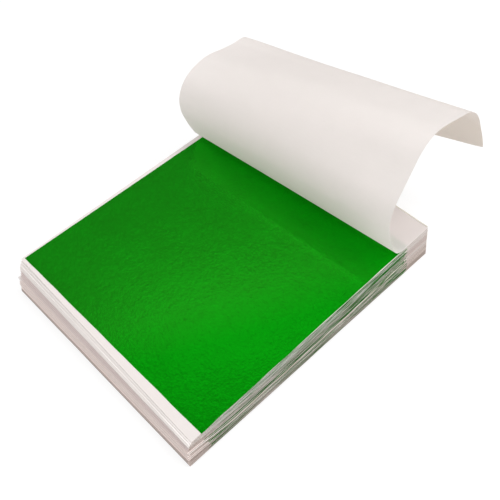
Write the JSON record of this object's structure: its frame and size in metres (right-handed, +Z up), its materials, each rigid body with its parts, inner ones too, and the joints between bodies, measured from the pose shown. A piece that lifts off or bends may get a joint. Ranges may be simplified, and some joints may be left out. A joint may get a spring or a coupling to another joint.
{
  "type": "imitation gold leaf booklet",
  "caption": "Booklet of green imitation metal leaf laid between papers glued along the back edge, with a cover tissue that rolls back to show the top leaf.",
  "frame": {"origin": "under the middle of the lowest paper, on the surface the booklet lies on", "axes": "+X to the right along the front edge, +Y from the open front edge to the glued back edge, +Z up"},
  "size_m": [0.0844, 0.1233, 0.046],
  "materials": {
    "paper": "uncoated",
    "tissue": "smooth tissue",
    "leaf": "dyed green, satin",
    "glue": "clear padding glue"
  },
  "bodies": {
    "booklet": {"interleaf_01": "paper", "interleaf_02": "paper", "interleaf_03": "paper", "interleaf_04": "paper", "interleaf_05": "paper", "interleaf_06": "paper", "interleaf_07": "paper", "interleaf_08": "paper", "interleaf_09": "paper", "interleaf_10": "paper", "interleaf_11": "paper", "interleaf_12": "paper", "interleaf_13": "paper", "interleaf_14": "paper", "interleaf_15": "paper", "interleaf_16": "paper", "interleaf_17": "paper", "interleaf_18": "paper", "interleaf_19": "paper", "interleaf_20": "paper", "interleaf_21": "paper", "interleaf_22": "paper", "interleaf_23": "paper", "interleaf_24": "paper", "interleaf_25": "paper", "leaf_01": "leaf", "leaf_02": "leaf", "leaf_03": "leaf", "leaf_04": "leaf", "leaf_05": "leaf", "leaf_06": "leaf", "leaf_07": "leaf", "leaf_08": "leaf", "leaf_09": "leaf", "leaf_10": "leaf", "leaf_11": "leaf", "leaf_12": "leaf", "leaf_13": "leaf", "leaf_14": "leaf", "leaf_15": "leaf", "leaf_16": "leaf", "leaf_17": "leaf", "leaf_18": "leaf", "leaf_19": "leaf", "leaf_20": "leaf", "leaf_21": "leaf", "leaf_22": "leaf", "leaf_23": "leaf", "leaf_24": "leaf", "spine_glue": "glue", "tissue_held_strip": "tissue"},
    "top_leaf": {"leaf_25": "leaf"},
    "tissue_strip_1": {"tissue_roll_1": "tissue"},
    "tissue_strip_2": {"tissue_roll_2": "tissue"},
    "tissue_strip_3": {"tissue_roll_3": "tissue"},
    "tissue_strip_4": {"tissue_roll_4": "tissue"},
    "tissue_strip_5": {"tissue_roll_5": "tissue"}
  },
  "joints": [
    {"name": "tissue_bend_1", "type": "hinge", "parent": "booklet", "child": "tissue_strip_1", "pos_m": [0.00142, 0.03039, 0.01559], "axis": [0.9946, 0.0826, -0.0626], "range_deg": [0, 73.07]},
    {"name": "tissue_bend_2", "type": "hinge", "parent": "tissue_strip_1", "child": "tissue_strip_2", "pos_m": [0.00143, 0.02621, 0.02973], "axis": [0.9973, 0.0705, -0.0209], "range_deg": [0, 47.14]},
    {"name": "tissue_bend_3", "type": "hinge", "parent": "tissue_strip_2", "child": "tissue_strip_3", "pos_m": [0.00073, 0.03257, 0.04052], "axis": [0.9959, 0.0893, 0.0111], "range_deg": [0, 45.08]},
    {"name": "tissue_bend_4", "type": "hinge", "parent": "tissue_strip_3", "child": "tissue_strip_4", "pos_m": [-0.00036, 0.04441, 0.04499], "axis": [0.9919, 0.1243, 0.0243], "range_deg": [0, 31.15]},
    {"name": "tissue_bend_5", "type": "hinge", "parent": "tissue_strip_4", "child": "tissue_strip_5", "pos_m": [-0.0017, 0.06243, 0.03923], "axis": [0.9842, 0.1769, 0.0072], "range_deg": [0, 64.56]},
    {"name": "top_leaf_draw", "type": "slide", "parent": "booklet", "child": "top_leaf", "axis": [-0.0015, -0.9997, -0.0227], "range_m": [0, 0.04]}
  ],
  "couplings": [
    {"joint": "tissue_bend_2", "follows": "tissue_bend_1", "ratio": 0.64291},
    {"joint": "tissue_bend_3", "follows": "tissue_bend_1", "ratio": 0.61472},
    {"joint": "tissue_bend_4", "follows": "tissue_bend_1", "ratio": 0.42443},
    {"joint": "tissue_bend_5", "follows": "tissue_bend_1", "ratio": 0.88097}
  ]
}
